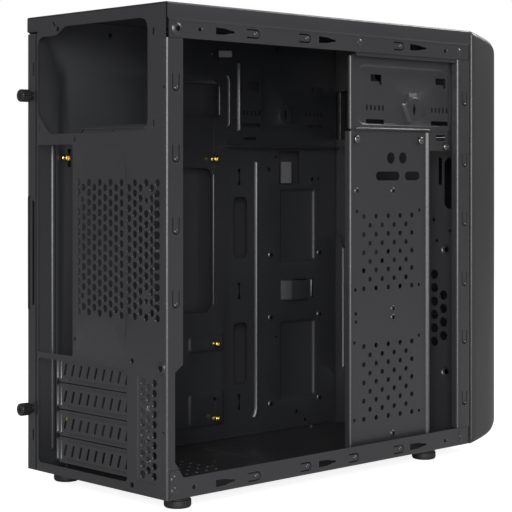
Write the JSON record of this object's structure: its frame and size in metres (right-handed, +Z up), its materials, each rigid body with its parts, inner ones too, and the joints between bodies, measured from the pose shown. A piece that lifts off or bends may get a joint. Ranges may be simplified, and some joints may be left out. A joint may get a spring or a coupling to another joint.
{
  "type": "computer tower case",
  "caption": "Upright desktop computer case of folded steel sheet with its left side open, a board tray, drive cage and a plain pull-off front; holds a micro-ATX computer.",
  "frame": {"origin": "centre of the bounding box's underside, on the floor between the feet", "axes": "+X towards the closed right side, +Y towards the rear, +Z up; the plain front faces -Y and the open side faces -X"},
  "size_m": [0.1704, 0.389, 0.36],
  "materials": {
    "steel": "dark grey powder coat, fine texture",
    "bezel": "dark grey satin moulded plastic",
    "black": "black moulded plastic",
    "rubber": "black rubber, dull",
    "brass": "turned brass",
    "zinc": "zinc plated",
    "clear": "clear light pipe",
    "board": "solder-masked circuit board"
  },
  "bodies": {
    "chassis": {"rear_panel": "steel", "top_cover": "steel", "bottom_pan": "steel", "motherboard_tray": "steel", "front_sheet": "steel", "cage_left_wall": "steel", "bay_shelf": "steel", "hard_drive_plate": "steel", "psu_shelf": "steel", "slot_ledge": "steel", "standoff_1": "brass", "standoff_2": "brass", "standoff_3": "brass", "standoff_4": "brass", "standoff_5": "brass", "standoff_6": "brass", "standoff_7": "brass", "foot_1": "rubber", "foot_2": "rubber", "foot_3": "rubber", "foot_4": "rubber", "plate_screw_rear": "zinc", "plate_screw_front": "zinc", "cage_screw": "zinc"},
    "side_panel": {"right_side_panel": "steel"},
    "thumbscrew_upper": {"thumbscrew_upper": "black"},
    "thumbscrew_lower": {"thumbscrew_lower": "black"},
    "bezel": {"front_bezel": "bezel", "power_switch": "black", "reset_switch": "black", "power_light_pipe": "clear", "disk_light_pipe": "clear", "front_io_board": "board", "usb_port_1": "zinc", "usb_port_2": "zinc", "audio_jack_1": "black", "audio_jack_2": "black"},
    "bay_cover": {"bay_cover": "bezel"},
    "power_button": {"power_button": "bezel"},
    "reset_button": {"reset_button": "bezel"},
    "slot_cover_1": {"slot_cover_1": "steel", "slot_screw_1": "zinc"},
    "slot_cover_2": {"slot_cover_2": "steel", "slot_screw_2": "zinc"},
    "slot_cover_3": {"slot_cover_3": "steel", "slot_screw_3": "zinc"},
    "slot_cover_4": {"slot_cover_4": "steel", "slot_screw_4": "zinc"}
  },
  "joints": [
    {"name": "side_panel_slide", "type": "slide", "parent": "chassis", "child": "side_panel", "axis": [0, 1, 0], "range_m": [0, 0.012]},
    {"name": "thumbscrew_upper_turn", "type": "hinge", "parent": "side_panel", "child": "thumbscrew_upper", "pos_m": [0.0773, 0.1885, 0.2989], "axis": [0, 1, 0], "continuous": true},
    {"name": "thumbscrew_lower_turn", "type": "hinge", "parent": "side_panel", "child": "thumbscrew_lower", "pos_m": [0.0773, 0.1885, 0.0572], "axis": [0, 1, 0], "continuous": true},
    {"name": "bezel_pull", "type": "slide", "parent": "chassis", "child": "bezel", "axis": [0, -1, 0], "range_m": [0, 0.025]},
    {"name": "bay_cover_pull", "type": "slide", "parent": "bezel", "child": "bay_cover", "axis": [0, -1, 0], "range_m": [0, 0.03]},
    {"name": "power_button_press", "type": "slide", "parent": "bezel", "child": "power_button", "axis": [0, 1, 0], "range_m": [0, 0.0015], "stiffness_N_per_m": 600, "springref_m": -0.001},
    {"name": "reset_button_press", "type": "slide", "parent": "bezel", "child": "reset_button", "axis": [0, 1, 0], "range_m": [0, 0.0015], "stiffness_N_per_m": 600, "springref_m": -0.001},
    {"name": "slot_cover_1_pull", "type": "slide", "parent": "chassis", "child": "slot_cover_1", "axis": [-1, 0, 0], "range_m": [0, 0.03]},
    {"name": "slot_cover_2_pull", "type": "slide", "parent": "chassis", "child": "slot_cover_2", "axis": [-1, 0, 0], "range_m": [0, 0.03]},
    {"name": "slot_cover_3_pull", "type": "slide", "parent": "chassis", "child": "slot_cover_3", "axis": [-1, 0, 0], "range_m": [0, 0.03]},
    {"name": "slot_cover_4_pull", "type": "slide", "parent": "chassis", "child": "slot_cover_4", "axis": [-1, 0, 0], "range_m": [0, 0.03]}
  ]
}
